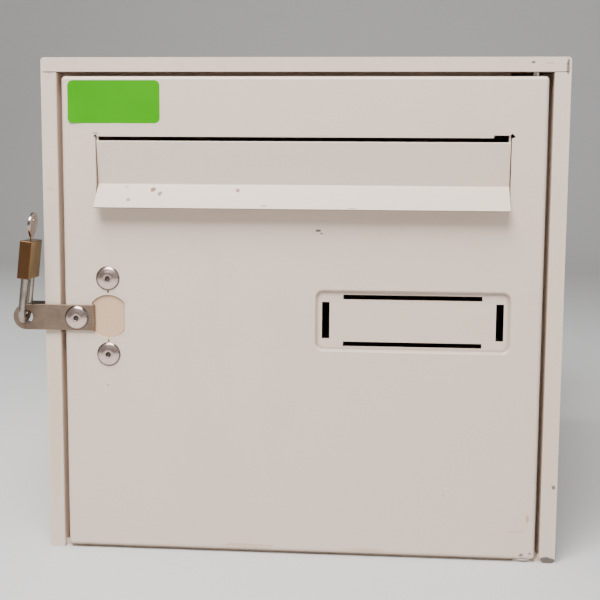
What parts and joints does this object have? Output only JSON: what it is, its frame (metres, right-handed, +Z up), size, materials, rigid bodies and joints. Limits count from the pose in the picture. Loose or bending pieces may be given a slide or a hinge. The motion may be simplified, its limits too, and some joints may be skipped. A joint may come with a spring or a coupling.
{
  "type": "letter box",
  "caption": "Single sheet-steel letter box: folded casing, hinged front door with lift-up mail flap and nameplate recess, riveted hasp strap and small brass padlock.",
  "frame": {"origin": "centre of the casing's underside: middle of its width and of its depth", "axes": "+Z up, door faces -Y, +X to the right seen from the front, where the door's hinge is"},
  "size_m": [0.319, 0.4145, 0.29],
  "materials": {
    "white_paint": "old warm white powder coat, slightly worn",
    "door_paint": "old warm white powder coat with faint scratches",
    "flap_paint": "old white powder coat with small rust spots",
    "beige_paint": "yellowed cream paint",
    "staple_steel": "dull galvanised steel",
    "strap_steel": "dull brownish steel",
    "rivet_steel": "bright pulled rivet",
    "pin_steel": "plain bright steel",
    "zinc_steel": "zinc-plated steel",
    "white_nylon": "natural nylon",
    "green_label": "fluorescent green paper label, blank",
    "shackle_steel": "hardened steel, lightly plated",
    "case_brass": "solid brass, brushed",
    "plug_brass": "turned brass",
    "spring_steel": "spring wire",
    "key_steel": "nickel-plated steel"
  },
  "bodies": {
    "casing": {"casing_wrapper": "white_paint", "floor_panel": "white_paint", "back_panel": "white_paint", "hasp_staple": "staple_steel", "staple_rivets": "rivet_steel", "upper_hinge_pin": "pin_steel", "lower_hinge_pin": "pin_steel"},
    "door": {"door_panel": "door_paint", "lock_blanking_plate": "beige_paint", "blanking_rivets": "rivet_steel", "hasp_strap": "strap_steel", "strap_rivet": "rivet_steel", "price_sticker": "green_label", "upper_hinge_bush": "white_nylon", "lower_hinge_bush": "white_nylon", "left_flap_bracket": "white_paint", "right_flap_bracket": "white_paint", "flap_hinge_rod": "pin_steel", "rod_clips": "zinc_steel"},
    "flap": {"mail_flap": "flap_paint"},
    "shackle": {"padlock_shackle": "shackle_steel"},
    "lock_case": {"padlock_case": "case_brass", "latch_bolt": "case_brass", "latch_spring": "spring_steel", "driver_pins": "case_brass", "pin_springs": "spring_steel"},
    "plug": {"lock_plug": "plug_brass", "key_pins": "case_brass"},
    "key": {"padlock_key": "key_steel"}
  },
  "joints": [
    {"name": "door_swing", "type": "hinge", "parent": "casing", "child": "door", "pos_m": [0.1313, -0.1946, 0.14], "axis": [0, 0, 1], "range_deg": [0, 105]},
    {"name": "flap_swing", "type": "hinge", "parent": "door", "child": "flap", "pos_m": [0, -0.1951, 0.2395], "axis": [-1, 0, 0], "range_deg": [0, 90]},
    {"name": "padlock_swing", "type": "hinge", "parent": "door", "child": "shackle", "pos_m": [-0.1613, -0.2006, 0.14], "axis": [0, -1, 0], "range_deg": [0, 188]},
    {"name": "padlock_release", "type": "slide", "parent": "shackle", "child": "lock_case", "axis": [0.1097, 0, 0.994], "range_m": [0, 0.007]},
    {"name": "plug_turn", "type": "hinge", "parent": "lock_case", "child": "plug", "pos_m": [4.22807, -0.20445, 39.89844], "axis": [0.1097, 0, 0.994], "range_deg": [0, 90]},
    {"name": "key_pull", "type": "slide", "parent": "plug", "child": "key", "axis": [0.1097, 0, 0.994], "range_m": [0, 0.013]}
  ]
}
